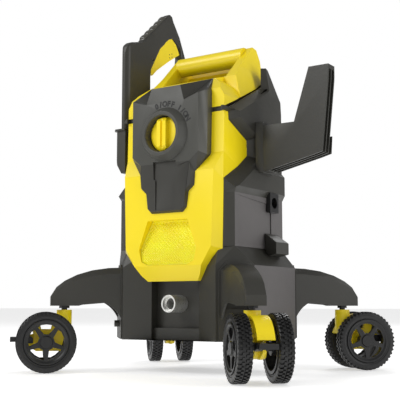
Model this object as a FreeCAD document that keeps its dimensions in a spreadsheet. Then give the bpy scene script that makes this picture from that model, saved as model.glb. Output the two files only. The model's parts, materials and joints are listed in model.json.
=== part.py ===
import FreeCAD, Part
import math
import os
import Sketcher

# Pressure washer: a tower of clip-together casings on a base with four legs, each on a
# twin-wheel caster.  Millimetres; +X right, -Y front, +Z up; origin on the floor, centred
# between the casters.

V = FreeCAD.Vector

SIZES = {
    # casters
    "wheel_diameter": 90, "tyre_width": 25, "wheel_gap": 29, "trail": 27,
    "stem_x": 166, "stem_y": 142, "tyre_bore": 66, "hub_width": 21, "axle_diameter": 8,
    "stem_diameter": 8.8, "collar_diameter": 23, "collar_top": 93, "guard_width": 23.5,
    "guard_thickness": 3, "web_thickness": 4, "drum_diameter": 28, "lever_reach": 80,
    "lever_width": 25, "lever_pin_diameter": 5,
    # base and legs
    "base_length": 248, "base_width": 206, "corner_cut": 40.5, "base_bottom": 48.5,
    "base_side_top": 165, "base_top": 184, "leg_bottom": 99, "leg_end_width": 28,
    "leg_root_width": 46, "leg_end": 21.2, "flange_thickness": 2, "recess_half": 43,
    # tower
    "wall": 3, "tower_half": 105, "tower_front": 92, "tower_rear": 88, "belt_bulge": 5,
    "belt_bottom": 262, "belt_top": 300, "shoulder_top": 402, "shell_top": 470,
    "cover_half": 90, "panel_front": 105, "upper_front": 88, "seam_bottom": 383,
    "seam_top": 390, "cover_bottom": 135, "deck_height": 440, "handle_height": 508,
    "handle_diameter": 30, "handle_y": 20, "handle_z": 493, "handle_span": 120,
    # control panel
    "mask_front": 112, "dial_z": 352.5, "bezel_diameter": 82, "bezel_front": 124,
    "knob_diameter": 52, "knob_shaft_diameter": 8, "dial_bore": 60,
    # fittings
    "outlet_z": 102, "outlet_diameter": 25.5, "outlet_bore": 16, "outlet_length": 33,
    "recess_depth": 35, "inlet_diameter": 26, "inlet_length": 28, "gland_y": 21,
    "gland_z": 255, "gland_bore": 17, "hook_reach": 226, "hook_depth": 34,
    "hook_y": -22, "hook_wall": 3,
    # spray gun
    "gun_x": -114, "gun_width": 16, "gun_front": -69, "gun_back": -8, "gun_bottom": 345,
    "trigger_width": 12, "trigger_pin_diameter": 4, "lance_diameter": 12,
    "holster_bottom": 308, "holster_top": 380,
    # motor and pump
    "motor_diameter": 92, "motor_height": 130, "rotor_diameter": 56, "shaft_diameter": 10,
    "fan_diameter": 76, "pump_half": 38, "pump_bottom": 76, "pump_top": 140,
    "piston_diameter": 14, "piston_circle": 40,
    # fits and fasteners
    "running": 0.05, "loose": 0.3, "screw_diameter": 4, "screw_head": 8,
}

os.makedirs("parts", exist_ok=True)
doc = FreeCAD.newDocument("pressure_washer")
sheet = doc.addObject("Spreadsheet::Sheet", "Sizes")
for row, (alias, number) in enumerate(SIZES.items(), 1):
    sheet.set(f"A{row}", alias)
    sheet.set(f"B{row}", str(number))
    sheet.setAlias(f"B{row}", alias)
doc.recompute()


class Size:
    """A length that carries both its number and the sheet formula that gives it."""

    def __init__(self, number, formula):
        self.number = number
        self.formula = formula

    def join(self, other, sign, result):
        return Size(result, f"({self.formula} {sign} {size(other).formula})")

    def __add__(self, other):
        return self.join(other, "+", self.number + size(other).number)

    def __sub__(self, other):
        return self.join(other, "-", self.number - size(other).number)

    def __mul__(self, other):
        return self.join(other, "*", self.number * size(other).number)

    def __truediv__(self, other):
        return self.join(other, "/", self.number / size(other).number)

    def __radd__(self, other):
        return size(other) + self

    def __rsub__(self, other):
        return size(other) - self

    def __rmul__(self, other):
        return size(other) * self

    def __neg__(self):
        return size(0) - self


def size(value):
    """Any number as a Size."""
    return value if isinstance(value, Size) else Size(float(value), f"({float(value)})")


class Sizes:
    """Gives each cell of the sheet by its alias."""

    def __getattr__(self, alias):
        return Size(float(getattr(sheet, alias)), f"Sizes.{alias}")


d = Sizes()
pieces = {}

PLANES = {"XY": ("XY_Plane", 1), "XZ": ("XZ_Plane", -1), "YZ": ("YZ_Plane", 1)}


class Piece:
    """A PartDesign body whose sketches and features are bound to the size sheet."""

    def __init__(self, name, place=None):
        self.body = doc.addObject("PartDesign::Body", name)
        self.body.Label = name
        if place:
            self.body.Placement = place
        pieces[name] = self.body

    def sketch(self, plane, outline, at=0, circles=()):
        """A closed outline of corners and circles, square to an axis at a height along it."""
        role, sign = PLANES[plane]
        made = self.body.newObject("Sketcher::SketchObject", "outline")
        origin = next(f for f in self.body.Origin.OriginFeatures if f.Role == role)
        made.AttachmentSupport = [(origin, "")]
        made.MapMode = "FlatFace"
        height = size(at) * sign
        made.AttachmentOffset = FreeCAD.Placement(V(0, 0, height.number), FreeCAD.Rotation())
        made.setExpression("AttachmentOffset.Base.z", height.formula)
        corners = [(size(u), size(v)) for u, v in outline]
        count = len(corners)
        for i in range(count):
            ends = [V(corners[k][0].number, corners[k][1].number, 0) for k in (i, (i + 1) % count)]
            made.addGeometry(Part.LineSegment(*ends))
        for i in range(count):
            made.addConstraint(Sketcher.Constraint("Coincident", i, 2, (i + 1) % count, 1))
        for i, corner in enumerate(corners):
            bind_point(made, i, 1, corner)
        for u, v, radius in circles:
            middle = (size(u), size(v))
            circle = Part.Circle(V(middle[0].number, middle[1].number, 0), V(0, 0, 1),
                                 size(radius).number)
            index = made.addGeometry(circle)
            bind_point(made, index, 3, middle)
            bind(made, Sketcher.Constraint("Radius", index, size(radius).number), size(radius))
        return made

    def feature(self, kind, profile, length=None):
        made = self.body.newObject(f"PartDesign::{kind}", kind.lower())
        made.Profile = profile
        if length is not None:
            made.setExpression("Length", length.formula)
        return made

    def pad(self, plane, outline=(), start=0, end=1, circles=(), taper=0):
        """Adds the outline as a prism that runs between two heights along its axis."""
        length = size(end) - start
        forward = (length.number > 0) == (PLANES[plane][1] > 0)
        made = self.feature("Pad", self.sketch(plane, outline, start, circles),
                            length if length.number > 0 else -length)
        made.Reversed = not forward
        made.TaperAngle = taper
        return made

    def cut(self, plane, outline=(), start=0, end=1, circles=()):
        """Takes the outline away as a prism that runs between two heights along its axis."""
        length = size(end) - start
        forward = (length.number > 0) == (PLANES[plane][1] > 0)
        made = self.feature("Pocket", self.sketch(plane, outline, start, circles),
                            length if length.number > 0 else -length)
        made.Reversed = forward
        return made

    def turn(self, plane, outline, axis, kind="Revolution"):
        """Turns an outline about its sketch's own axis."""
        profile = self.sketch(plane, outline)
        made = self.feature(kind, profile)
        made.ReferenceAxis = (profile, [axis])
        made.Angle = 360
        return made

    def repeat(self, feature, axis, count):
        """Repeats a feature evenly about an axis through the piece's origin."""
        origin = next(f for f in self.body.Origin.OriginFeatures if f.Role == axis)
        made = self.body.newObject("PartDesign::PolarPattern", "repeat")
        made.Originals = [feature]
        made.Axis = (origin, [""])
        made.Angle = 360
        made.Occurrences = count
        self.body.Tip = made
        return made


def bind(made, constraint, value):
    index = made.addConstraint(constraint)
    made.setExpression(f"Constraints[{index}]", value.formula)


def bind_point(made, geometry, point, place):
    """Holds a sketch point at its two coordinates, each tied to the sheet."""
    for kind, axis, value in (("DistanceX", -2, place[0]), ("DistanceY", -1, place[1])):
        if abs(value.number) < 1e-9:
            made.addConstraint(Sketcher.Constraint("PointOnObject", geometry, point, axis))
        else:
            bind(made, Sketcher.Constraint(kind, -1, 1, geometry, point, value.number), value)


def solid_piece(name, shape, place=None):
    """A piece whose shape is worked out from the sheet's values by Part's own functions."""
    made = doc.addObject("Part::Feature", name)
    made.Label = name
    made.Shape = shape
    if place:
        made.Placement = place
    pieces[name] = made
    return made


def flat_faces(corners):
    """One face where the corners lie in a plane, and otherwise triangles from the first."""
    points = [p for i, p in enumerate(corners) if p.distanceToPoint(corners[i - 1]) > 1e-6]
    if len(points) < 3:
        return []
    normal = (points[1] - points[0]).cross(points[2] - points[0])
    level = all(abs((p - points[0]).dot(normal)) < 1e-5 * normal.Length for p in points[3:])
    if level:
        return [Part.Face(Part.makePolygon(points + points[:1]))]
    fans = [(points[0], points[i], points[i + 1]) for i in range(1, len(points) - 1)]
    return [Part.Face(Part.makePolygon([*fan, fan[0]])) for fan in fans]


def skinned(rings):
    """A solid with flat walls between rings of corners, closed by its first and last ring."""
    rings = [[V(*corner) for corner in ring] for ring in rings]
    faces = flat_faces(rings[0]) + flat_faces(rings[-1])
    for low, high in zip(rings, rings[1:]):
        for i in range(len(low)):
            j = (i + 1) % len(low)
            faces += flat_faces([low[i], low[j], high[j], high[i]])
    solid = Part.Solid(Part.Shell(faces))
    if solid.Volume < 0:
        solid.reverse()
    return solid.removeSplitter()


def box(low, high):
    low, high = V(*low), V(*high)
    return Part.makeBox(*(high - low), low)


def rod(radius, start, end):
    """A cylinder between two points."""
    start, end = V(*start), V(*end)
    return Part.makeCylinder(radius, (end - start).Length, start, end - start)


def prism(axis, outline, start, end):
    """A prism of (second, third) coordinates that runs along X, or of (x, z) along Y."""
    place = {"X": lambda at, u, v: V(at, u, v), "Y": lambda at, u, v: V(u, at, v),
             "Z": lambda at, u, v: V(u, v, at)}[axis]
    points = [place(start, u, v) for u, v in outline]
    face = Part.Face(Part.makePolygon(points + points[:1]))
    return face.extrude(place(end, 0, 0) - place(start, 0, 0))


def mirrored(shape):
    return shape.mirror(V(0, 0, 0), V(1, 0, 0))


def both_sides(half):
    """A ring of corners from its half with positive x, ordered right round the object."""
    return half + [(-x, y, z) for x, y, z in reversed(half)]


# ---------------------------------------------------------------- casters

CORNERS = {"front_left": 225, "front_right": 315, "rear_left": 135, "rear_right": 45}


def corner_place(angle):
    """The frame of a caster's stem: on the floor, with +X pointing out of the object."""
    turn = FreeCAD.Rotation(V(0, 0, 1), angle)
    x = math.copysign(d.stem_x.number, math.cos(math.radians(angle)))
    y = math.copysign(d.stem_y.number, math.sin(math.radians(angle)))
    return FreeCAD.Placement(V(x, y, 0), turn)


def arc_band(radius, thickness, first, last, steps):
    """A curved band's corners about the axle, as (x, z) pairs."""
    outer, inner = [], []
    for i in range(steps + 1):
        angle = math.radians(first + (last - first) * i / steps)
        for points, r in ((outer, radius), (inner, radius - thickness)):
            points.append((d.trail + r * math.cos(angle), axle_z + r * math.sin(angle)))
    return outer + inner[::-1]


axle_z = d.wheel_diameter / 2
wheel_offset = (d.wheel_gap + d.tyre_width) / 2
GUARD_RADIUS = 42
LEVER_PIN = (52.0, 47.5)


def fork(name, place):
    """Collar, curved mudguard, thin middle web and brake drum, all one moulding."""
    made = Piece(name, place)
    half = d.guard_width / 2
    made.pad("XZ", arc_band(GUARD_RADIUS, d.guard_thickness, 16, 164, 14), -half, half)
    web = [(5, 31), (41, 31), (58, 41), (58, 54), (46, 57), (50, 74), (27, 85), (0, 73), (-9, 66), (0, 50)]
    made.pad("XZ", web, -d.web_thickness / 2, d.web_thickness / 2)
    made.pad("XY", (), 62, d.collar_top, [(0, 0, d.collar_diameter / 2)])
    made.pad("XZ", (), -8, 8, [(d.trail, axle_z, d.drum_diameter / 2)])
    made.cut("XZ", [(20, 64), (34, 64), (38, 79), (16, 79)], -3, 3)
    made.cut("XZ", (), -12, 12, [(d.trail, axle_z, d.axle_diameter / 2 + d.running)])
    made.cut("XZ", (), -12, 12, [(*LEVER_PIN, d.lever_pin_diameter / 2 + d.running)])
    made.cut("XY", (), 60, d.collar_top + 1, [(0, 0, d.stem_diameter / 2 + d.running)])


def axle(name, place):
    reach = wheel_offset + d.hub_width / 2 - 3
    made = Piece(name, place)
    made.pad("XZ", (), -reach, reach, [(d.trail, axle_z, d.axle_diameter / 2)])


def brake_lever(name, place):
    """A slotted pedal that straddles the web on its pin, which is moulded with it."""
    made = Piece(name, place)
    half = d.lever_width / 2
    x, z = LEVER_PIN
    tip = d.lever_reach
    side = [(x - 6, z - 4), (x + 4, z - 5), (66, 45.5), (tip, 45.5), (tip, 52.5), (66, 52.5),
            (x + 8, 53.5), (x - 3, 53.5), (x - 6, 50)]
    made.pad("XZ", side, -half, half)
    slot = d.web_thickness / 2 + d.loose
    made.cut("XY", [(x - 10, -slot), (62, -slot), (62, slot), (x - 10, slot)], 40, 60)
    for sign in (-1, 1):
        edge = half * sign
        made.cut("XY", [(66, edge - sign * 4), (72, edge - sign * 4), (72, edge + sign),
                        (66, edge + sign)], 40, 60)
    made.pad("XZ", (), -slot - 1, slot + 1, [(x, z, d.lever_pin_diameter / 2)])


def wheel_frame(place, side):
    """The centre of one of a caster's wheels, with +Y along the axle, away from the fork."""
    middle = V(d.trail.number, side * wheel_offset.number, axle_z.number)
    turn = FreeCAD.Rotation(V(0, 0, 1), 0 if side > 0 else 180)
    return place.multiply(FreeCAD.Placement(middle, turn))


def hub(name, place):
    """Rim, five-spoke face, and a boss with a blind bore for the axle's end."""
    made = Piece(name, place)
    seat = d.tyre_bore / 2
    half = d.hub_width / 2
    face = half - 2
    boss = 9.75
    bore = d.axle_diameter / 2 + d.running
    made.turn("YZ", [(-half, bore), (-half, boss), (face - 4, boss), (face - 4, seat - 5),
                     (-half, seat - 4), (-half, seat), (half, seat), (half, seat - 2.5),
                     (face, seat - 5), (face, boss), (half, boss - 1), (half, 0),
                     (half - 2.5, 0), (half - 2.5, bore)], "H_Axis")
    window = [(-3.5, 12), (3.5, 12), (12.5, 22), (8, 25.5), (0, 26.5), (-8, 25.5), (-12.5, 22)]
    opening = made.cut("XZ", window, 0, half + 1)
    made.repeat(opening, "Y_Axis", 5)


def tyre(name, place):
    """Plain tyre with rounded shoulders and a stepped sidewall."""
    made = Piece(name, place)
    seat = d.tyre_bore / 2
    outer = d.wheel_diameter / 2
    half = d.tyre_width / 2
    made.turn("YZ", [(-half + 2, seat), (-half, seat + 1), (-half, outer - 5), (-half + 0.8, outer - 2.2),
                     (-half + 2.6, outer), (half - 2.6, outer), (half - 0.8, outer - 2.2),
                     (half, outer - 5), (half, seat + 1), (half - 2, seat)], "H_Axis")


stems = []
screws = []
for corner, angle in CORNERS.items():
    here = corner_place(angle)
    fork(f"{corner}_fork", here)
    axle(f"{corner}_axle", here)
    brake_lever(f"{corner}_brake_lever", here)
    for letter, side in (("a", -1), ("b", 1)):
        hub(f"{corner}_hub_{letter}", wheel_frame(here, side))
        tyre(f"{corner}_tyre_{letter}", wheel_frame(here, side))

# ---------------------------------------------------------------- legs

leg_root = (d.base_length / 2 + d.base_width / 2 - d.corner_cut) * math.sqrt(0.5)
stem_reach = (d.stem_x + d.stem_y) * math.sqrt(0.5)
root_x = leg_root - stem_reach
FLANGE_HALF, FLANGE_EAVES, FLANGE_TOP, FLANGE_ROOF = 27.0, 147.0, 162.0, 15.0
SCREW_LEVELS = (72, 132)


def leg_section(x, inset):
    """A leg's cross-section: upright sides, sloping shoulders and a flat top."""
    along = (x - root_x.number) / (d.leg_end - root_x).number
    half = (d.leg_root_width + (d.leg_end_width - d.leg_root_width) * along).number / 2 - inset
    drop = (d.leg_end.number - x) / (d.leg_end - root_x).number
    crease = 111 + 37 * math.sin(math.pi / 2 * drop ** 0.62) - inset
    top = 113 + 44.5 * math.sin(math.pi / 2 * drop ** 0.62) - inset
    ridge = 13.5 - inset * 0.6
    floor = d.base_bottom.number + 1 if inset == 0 else d.base_bottom.number - 5
    return [(x, y, z) for y, z in ((-half, floor), (-half, crease), (-ridge, top), (ridge, top),
                                   (half, crease), (half, floor))]


def leg_shape():
    root, end = root_x.number, d.leg_end.number
    wall = d.wall.number
    stations = [root, root + 20, root + 45, root + 68, root + 86, root + 98, end]
    outer = skinned([leg_section(x, 0) for x in stations])
    hollow = skinned([leg_section(x, wall) for x in stations[:-1] + [end - wall]])
    low = d.leg_bottom.number
    # the underside: an arch from the foot of the root up to the level outer end
    start, mid, top = V(root - 1, 0, 49), V(root + 9.5, 0, 92), V(root + 24, 0, low + 4.5)
    edges = [Part.Arc(start, mid, top).toShape(),
             Part.makePolygon([top, V(-26, 0, low + 1.5), V(-21, 0, low), V(end + 1, 0, low),
                               V(end + 1, 0, 20), V(root - 1, 0, 20), start])]
    arch = Part.Face(Part.Wire(edges[:1] + edges[1].Edges))
    under = arch.extrude(V(0, 100, 0)).translated(V(0, -50, 0))
    shell = outer.cut(hollow)
    boss = rod(d.stem_diameter.number / 2 + 5, (0, 0, low), (0, 0, low + 30)).common(outer)
    thickness = d.flange_thickness.number
    flange = prism("X", [(-FLANGE_HALF, 50), (-FLANGE_HALF, FLANGE_EAVES), (-FLANGE_ROOF, FLANGE_TOP),
                         (FLANGE_ROOF, FLANGE_TOP), (FLANGE_HALF, FLANGE_EAVES), (FLANGE_HALF, 50)],
                   root, root + thickness)
    window = skinned([leg_section(x, 7) for x in (root - 1, root + thickness + 1)])
    shell = shell.cut(under).fuse([boss, flange.cut(window.common(box((-200, -50, 95), (0, 50, 124))))])
    shell = shell.cut(rod(d.stem_diameter.number / 2 + d.running.number, (0, 0, 90), (0, 0, low + 24)))
    for level in SCREW_LEVELS:
        shank = rod(d.screw_diameter.number / 2 + 3, (root, 0, level), (root + 9, 0, level))
        shell = shell.fuse(shank.common(outer)).cut(screw_hole(level))
    return shell.removeSplitter()


def screw_hole(level):
    """The hole for a screw that holds the leg to the base's corner wall."""
    root = root_x.number
    return rod(d.screw_diameter.number / 2 + d.running.number, (root - 8, 0, level), (root + 7, 0, level))


def stem_shape():
    """Stem with its hexagonal nut under the leg."""
    low = d.leg_bottom.number
    nut = prism("Z", [(7.9 * math.cos(math.radians(a)), 7.9 * math.sin(math.radians(a)))
                      for a in range(0, 360, 60)], low - 3.5, low)
    return rod(d.stem_diameter.number / 2, (0, 0, 64), (0, 0, low + 23)).fuse(nut)


def screw_shape(level):
    root = root_x.number
    wall = d.wall.number
    shank = rod(d.screw_diameter.number / 2, (root - wall, 0, level), (root + 6.5, 0, level))
    head = rod(d.screw_head.number / 2, (root - wall - 2.5, 0, level), (root - wall, 0, level))
    return shank.fuse(head)


leg = leg_shape()
for corner, angle in CORNERS.items():
    here = corner_place(angle)
    solid_piece(f"{corner}_leg", leg, here)
    stems.append(stem_shape().transformGeometry(here.toMatrix()))
    screws += [screw_shape(level).transformGeometry(here.toMatrix()) for level in SCREW_LEVELS]
solid_piece("caster_stems", Part.makeCompound(stems))
solid_piece("leg_screws", Part.makeCompound(screws))

# ---------------------------------------------------------------- base

half_x, half_y, cut = (d.base_length / 2).number, (d.base_width / 2).number, d.corner_cut.number
base_low, side_top, base_high = d.base_bottom.number, d.base_side_top.number, d.base_top.number
tower_x, tower_y, rear_y = d.tower_half.number, d.tower_front.number, d.tower_rear.number
wall, recess = d.wall.number, d.recess_half.number
recess_y = -(half_y - d.recess_depth.number)


def base_ring(z, inset):
    """The base's plan at a height: cut corners, and a front that falls back to a bay."""
    x, y, c = half_x - inset, half_y - inset, cut - 0.586 * inset
    bay = recess + inset
    half = [(bay, recess_y + inset), (bay, -y + 19 - inset * 0.4), (x - c, -y), (x, -y + c), (x, y - c),
            (x - c, y)]
    return [(px, py, z) for px, py in half] + [(-px, py, z) for px, py in reversed(half)]


def roof_ring(z, inset):
    """The tower's foot on the base's roof, with a corner for each of the base's."""
    x = tower_x - inset
    half = [(recess + inset, recess_y + inset), (recess + inset, -84 + inset), (82, -tower_y + inset),
            (x - 1, -83 + inset), (x - 3, 62), (82, rear_y - inset)]
    return [(px, py, z) for px, py in half] + [(-px, py, z) for px, py in reversed(half)]


OUTLET_STEP = 0.75


def base_outer():
    return skinned([base_ring(base_low, 0), base_ring(side_top - 8, 0), roof_ring(base_high, 0)])


def base_shape():
    outer = base_outer()
    inner = skinned([base_ring(base_low - 1, wall), base_ring(side_top - 8, wall),
                     roof_ring(base_high - wall - 1, wall + 2)])
    shell = outer.cut(inner)
    bumper = box((-recess, recess_y - 9, base_low), (recess, recess_y + 1, 66))
    ceiling = box((-recess, -tower_y, 150), (recess, recess_y + 1, 153))
    shell = shell.fuse([bumper, ceiling])
    shell = shell.cut(rod(20, (0, 0, 170), (0, 0, 190)))
    port = d.outlet_diameter.number / 2 - OUTLET_STEP
    z, loose = d.outlet_z.number, d.running.number
    shell = shell.cut(rod(port + loose, (0, -90, z), (0, recess_y + 8, z)))
    inlet = d.inlet_diameter.number / 2 - 4
    shell = shell.cut(rod(inlet + loose, (0, half_y - 8, z), (0, half_y + 2, z)))
    for angle in CORNERS.values():
        matrix = corner_place(angle).toMatrix()
        for level in SCREW_LEVELS:
            shell = shell.cut(screw_hole(level).transformGeometry(matrix))
    return shell.removeSplitter()


solid_piece("base_housing", base_shape())

# ---------------------------------------------------------------- tower casings

side = d.cover_half.number
front, upper = d.panel_front.number, d.upper_front.number
seam_low, seam_high, deck = d.seam_bottom.number, d.seam_top.number, d.deck_height.number
handle_top = d.handle_height.number
belt_low, belt_high, shoulder = d.belt_bottom.number, d.belt_top.number, d.shoulder_top.number
shell_top = d.shell_top.number


def tower_ring(z, grow, rear, pull=0.0):
    """Half of the tower's plan at a height, from the middle of its front round to its rear."""
    x = tower_x + grow - pull
    return [(0, -tower_y, z), (side - 2, -tower_y, z), (x - 1, -83 - grow * 0.6, z), (x, 25, z),
            (x - 4, min(66, rear - 8), z), (x - 24, rear + grow * 0.5, z), (0, rear + grow * 0.5, z)]


def tower_outer():
    grow = d.belt_bulge.number
    return skinned([tower_ring(base_high, 0, rear_y), tower_ring(belt_low, 0, rear_y),
                    tower_ring(belt_low + 9, grow, rear_y), tower_ring(belt_high, grow, rear_y),
                    tower_ring(belt_high + 6, 0, rear_y), tower_ring(shoulder, 0, 85),
                    tower_ring(shoulder + 20, 1, 75, 2), tower_ring(shell_top, 0, 46, 8)])


def top_side(inset):
    """The top cover's outline seen from the side, ending in the handle's arch."""
    i = inset
    drop = 1 if inset else 0
    return [(-upper + 2 + i, seam_high - drop), (-upper + 2 + i, 418 - i * 0.4),
            (-66, deck - i), (-36, 449 - i), (24, handle_top - i * 1.6), (36, handle_top - 2 - i * 1.6),
            (47 - i, 490 - i), (52 - i, shell_top + 2), (52 - i, 456 - drop), (20 + i, 438 - drop)]


def top_outer():
    return prism("X", top_side(0), -side, side)


def notch(inner, outer):
    """A cutter with sloping walls, from an outline at the cover's side to a wider one outside."""
    return skinned([[(side - wall - 0.2, y, z) for y, z in inner], [(side, y, z) for y, z in inner],
                    [(side + 25, y, z) for y, z in outer]])


COVER_EDGE = [(-75, 371), (-25, 347), (-24, 324), (-50, 305), (-92, 282)]
TOP_EDGE = [(-75, 389), (20, 438), (20, 500)]


COVER_REAR = -90.5


def side_shell():
    """The right half of the dark casing; the left one mirrors it."""
    shell = tower_outer()
    far = -150
    low_in = [(far, seam_low), (-76, seam_low), *COVER_EDGE, (COVER_REAR, 281), (COVER_REAR, base_high - 1),
              (far, base_high - 1)]
    low_out = [(far, seam_low + 8), (-60, seam_low + 8), (-60, 378), (-8, 356), (-7, 316), (-42, 292),
               (-83, 264), (-82, 263), (-82, base_high - 1), (far, base_high - 1)]
    high_in = [(far, 540), (20, 540), *TOP_EDGE[:2][::-1], (-76, seam_high), (far, seam_high)]
    high_out = [(far, 540), (34, 540), (34, 428), (-62, 379), (-64, 379), (far, 379)]
    shell = shell.cut([notch(low_in, low_out), notch(high_in, high_out)])
    inside = side - wall - 0.2
    core = prism("X", [(-160, base_high - 1), (rear_y - wall, base_high - 1), (rear_y - wall, shoulder - 4),
                       (42, shell_top - 4), (42, 540), (-160, 540)], -1, inside)
    aisle = [(-70, base_high + 4), (48, base_high + 4), (48, shoulder), (30, 440), (4, 424), (4, 312),
             (-34, 296), (-70, 266)]
    hollow = prism("X", aisle, inside - 1, tower_x - 2 * wall)
    band = box((68, -84, seam_low + 0.2), (inside + 2, -60, seam_high - 0.2))
    panel = prism("X", [(-75, base_high + 6), (22, base_high + 6), (22, 252), (-75, 259)],
                  tower_x - wall / 2, tower_x + 20)
    return shell.cut([core, hollow, top_outer()]).fuse(band).cut(panel)


GLAND_HALF, GLAND_RISE = 13, 15


def gland_hole():
    y, z = d.gland_y.number, d.gland_z.number
    plate = box((tower_x, y - GLAND_HALF, z - GLAND_RISE), (tower_x + 10, y + GLAND_HALF, z + GLAND_RISE))
    return rod(d.gland_bore.number / 2 + 1.6, (tower_x - 12, y, z), (tower_x + 20, y, z)).fuse(plate)


right_half = side_shell()
solid_piece("right_shell", right_half.cut(gland_hole()).removeSplitter())
solid_piece("left_shell", mirrored(right_half).removeSplitter())


def cover_rings(inset):
    """The lower front cover's facets: upper front, forward step, long front and tucked foot."""
    def ring(crease, shoulder_point, rear_point):
        return both_sides([(x - inset, y + (inset if i else 0), z) for i, (x, y, z) in
                           enumerate((rear_point, shoulder_point, crease))])
    extra = 1 if inset else 0
    crown = seam_low + extra
    return [ring((88.7, -upper + 2, crown), (89.3, -55, crown), (side, -20, crown)),
            ring((88.3, -upper, 322), (89.5, -50, 305), (side, -20, 292)),
            ring((81, -front + 1, 295), (side, -92, 282), (side, -60, 278)),
            ring((77, -front, 184), (88, -91, 180), (88, -60, 178)),
            ring((60, -front, 157), (69, -91, 161), (69, -60, 161)),
            ring((53, -97, 144), (58, -88, 148), (58, -60, 148)),
            ring((45, -91, d.cover_bottom.number - extra), (47, -86, d.cover_bottom.number - extra),
                 (47, -60, d.cover_bottom.number - extra))]


LENS = [(-36, 225), (36, 225), (52, 182), (47, 164), (35, 158.5), (-35, 158.5), (-47, 164), (-52, 182)]
LENS_SEAT = 15.0


def cover_outer():
    return skinned([ring[::-1] for ring in cover_rings(0)])


def front_cover_shape():
    outer = cover_outer()
    cover = outer.cut(skinned([ring[::-1] for ring in cover_rings(wall)]))
    keep = prism("X", [(-150, seam_low), (-76, seam_low), *COVER_EDGE, (COVER_REAR, 281), (COVER_REAR, 181),
                       (-86, 160), (-84, 130), (-150, 130)], -100, 100)
    cover = cover.common(keep)
    grown = [(x * 1.06, 190 + (z - 190) * 1.06) for x, z in LENS]
    seat = prism("Y", grown, -front + LENS_SEAT + 3, -front + 1)
    seat = seat.common(outer)
    cover = cover.fuse(seat).cut(base_outer())
    return cover.cut(prism("Y", LENS, -front + LENS_SEAT, -front - 5)).removeSplitter()


solid_piece("front_cover", front_cover_shape())
lens_in = [(x - math.copysign(0.3, x), z - math.copysign(0.3, z - 190)) for x, z in LENS]
lens_top = prism("Y", lens_in, -front + LENS_SEAT, -front + 0.5)
lens_slope = prism("X", [(-front - 1, 226), (-front - 1, 157), (-front + LENS_SEAT - 2, 226)], -60, 60)
solid_piece("lens", lens_top.cut(lens_slope))


def top_cover_shape():
    """Yellow top with two end fins, the grip bar between them and a hand gap under the bar."""
    grip = d.handle_diameter.number / 2
    span = d.handle_span.number / 2
    body = prism("X", top_side(0), -side + 1, side - 1)
    slope = prism("Y", [(120, 404), (side - 1, 404), (74, handle_top - 40), (73, handle_top + 30),
                        (120, handle_top + 30)], -200, 200)
    front_slope = prism("Y", [(120, 404), (88.5, 407), (76, 428), (57, 441), (57, 600), (120, 600)],
                        -200, -36)
    corner = prism("Z", [(70, -80), (60, -66 - 0.1), (60, -120), (120, -120), (120, -60)], 441, 600)
    for cutter in (slope, front_slope, corner):
        body = body.cut([cutter, mirrored(cutter)])
    gap = prism("X", [(-36, 449.2), (-36, 560), (60, 560), (60, 497), (38, 478), (34, 452)], -span, span)
    body = body.cut(gap)
    inner = prism("X", top_side(wall), -side + 1 + wall, side - 1 - wall)
    inner = inner.cut(prism("X", [(-40, 445), (-60, 600), (120, 600), (120, 474), (30, 470)], -100, 100))
    for cutter in (slope, front_slope):
        shifted = cutter.translated(V(-wall, wall, -wall))
        inner = inner.cut([shifted, mirrored(shifted)])
    body = body.cut(inner)
    y, z = d.handle_y.number, d.handle_z.number
    body = body.fuse(rod(grip, (-span - 2, y, z), (span + 2, y, z)))
    return body.removeSplitter()


solid_piece("top_cover", top_cover_shape())

# ---------------------------------------------------------------- control panel and dial

mask = d.mask_front.number
def mask_shape():
    """The dark fascia: dial plate above a crease, a lower tongue, and two folded top corners."""
    a, b, c = (26.4, -mask + 2, 425), (57, -66, 440), (67.3, -97, 415)
    notch_point, e, f = (34.4, -mask, 401), (60, -mask, 409), (60, -mask, 322)
    g, h, i = (44.2, -mask, 309), (67, -99, 318), (49.5, -104, 293)
    tongue = [(46, -mask + 1.5, 292), (44.5, -mask + 1.8, 275), (35, -mask + 2, 266),
              (32.5, -mask + 2.3, 243), (26.5, -mask + 2.5, 238)]
    edge = [i, (48.5, -104, 274), (38.5, -104, 265), (35.5, -104, 242), (28.5, -104, 235)]
    back = -62

    def flip(p):
        return (-p[0], p[1], p[2])

    def at_back(p):
        return (p[0], back, p[2])
    halves = [[a, notch_point, b], [notch_point, c, b], [notch_point, e, c], [e, f, h, c], [f, g, i, h],
              [g, tongue[0], i]]
    halves += [[tongue[k], tongue[k + 1], edge[k + 1], edge[k]] for k in range(4)]
    rim = [a, b, c, h, *edge]
    halves += [[rim[k], rim[k + 1], at_back(rim[k + 1]), at_back(rim[k])] for k in range(len(rim) - 1)]
    faces = []
    for corners in halves:
        faces += flat_faces([V(*p) for p in corners])
        faces += flat_faces([V(*flip(p)) for p in reversed(corners)])
    plate = [a, notch_point, e, f, g]
    faces += flat_faces([V(*p) for p in plate + [flip(p) for p in reversed(plate)]][1:-1])
    faces += flat_faces([V(*a), V(*notch_point), V(*flip(notch_point)), V(*flip(a))])
    lower = [g, *tongue]
    faces += flat_faces([V(*p) for p in lower + [flip(p) for p in reversed(lower)]])
    for first, last in ((edge[-1], tongue[-1]), (a, at_back(a)), (edge[-1], at_back(edge[-1]))):
        faces += flat_faces([V(*p) for p in (first, last, flip(last), flip(first))])
    ring = [at_back(p) for p in rim]
    faces += flat_faces([V(*p) for p in ring + [flip(p) for p in reversed(ring)]])
    shell = Part.Shell(faces)
    shell = shell if shell.isClosed() else Part.Shell(Part.makeShell(faces).Faces)
    solid = Part.Solid(shell)
    if solid.Volume < 0:
        solid.reverse()
    return solid


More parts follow.
